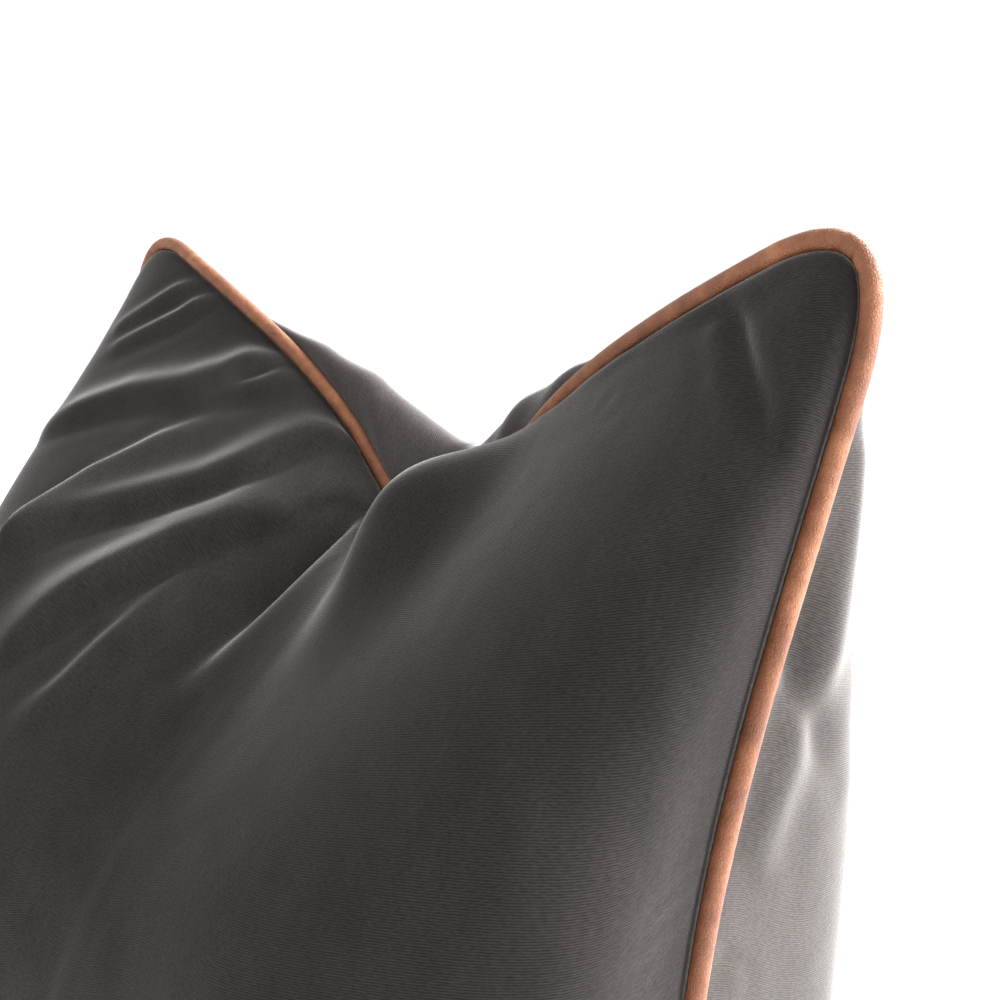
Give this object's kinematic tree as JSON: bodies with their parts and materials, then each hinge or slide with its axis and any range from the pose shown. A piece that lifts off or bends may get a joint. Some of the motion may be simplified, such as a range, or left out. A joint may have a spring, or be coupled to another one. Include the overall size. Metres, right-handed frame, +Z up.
{
  "type": "throw pillow",
  "caption": "Square velvet throw pillow with leather piping and a concealed bottom zip over a filled insert, standing with its top edge pressed into two ears.",
  "frame": {"origin": "middle of the pillow's footprint box, on the surface it stands on", "axes": "+X along the pillow's width, to the right as seen from the front; +Y through its thickness towards the back panel, so the front panel faces -Y; +Z up, from the bottom seam to the two ears"},
  "size_m": [0.4642, 0.2572, 0.4863],
  "materials": {
    "velvet": "short-pile velvet, matt with a soft sheen at grazing angles",
    "piping_leather": "tan leather, fine creased grain, satin",
    "piping_cord": "twisted cotton cord",
    "zip_tape": "woven polyester tape",
    "zip_coil": "nylon coil",
    "zip_metal": "antique brass, brushed",
    "insert_casing": "downproof cotton, plain weave",
    "insert_fill": "feather and down"
  },
  "bodies": {
    "cover": {"front_panel": "velvet", "back_panel": "velvet", "piping_leather": "piping_leather", "piping_cord": "piping_cord", "zip_tape_front": "zip_tape", "zip_tape_back": "zip_tape", "zip_coil_front": "zip_coil", "zip_coil_back": "zip_coil", "zip_top_stop_front": "zip_metal", "zip_top_stop_back": "zip_metal", "zip_bottom_stop": "zip_metal", "insert_casing_front": "insert_casing", "insert_casing_back": "insert_casing", "insert_fill": "insert_fill"},
    "slider": {"zip_slider": "zip_metal"},
    "pull": {"zip_pull": "zip_metal"}
  },
  "joints": [
    {"name": "zip_slide", "type": "slide", "parent": "cover", "child": "slider", "axis": [-1, 0, 0], "range_m": [0, 0.383]},
    {"name": "pull_swing", "type": "hinge", "parent": "slider", "child": "pull", "pos_m": [0.1914, -0.00326, 0.0033], "axis": [0, -1, 0], "range_deg": [0, 180]}
  ]
}
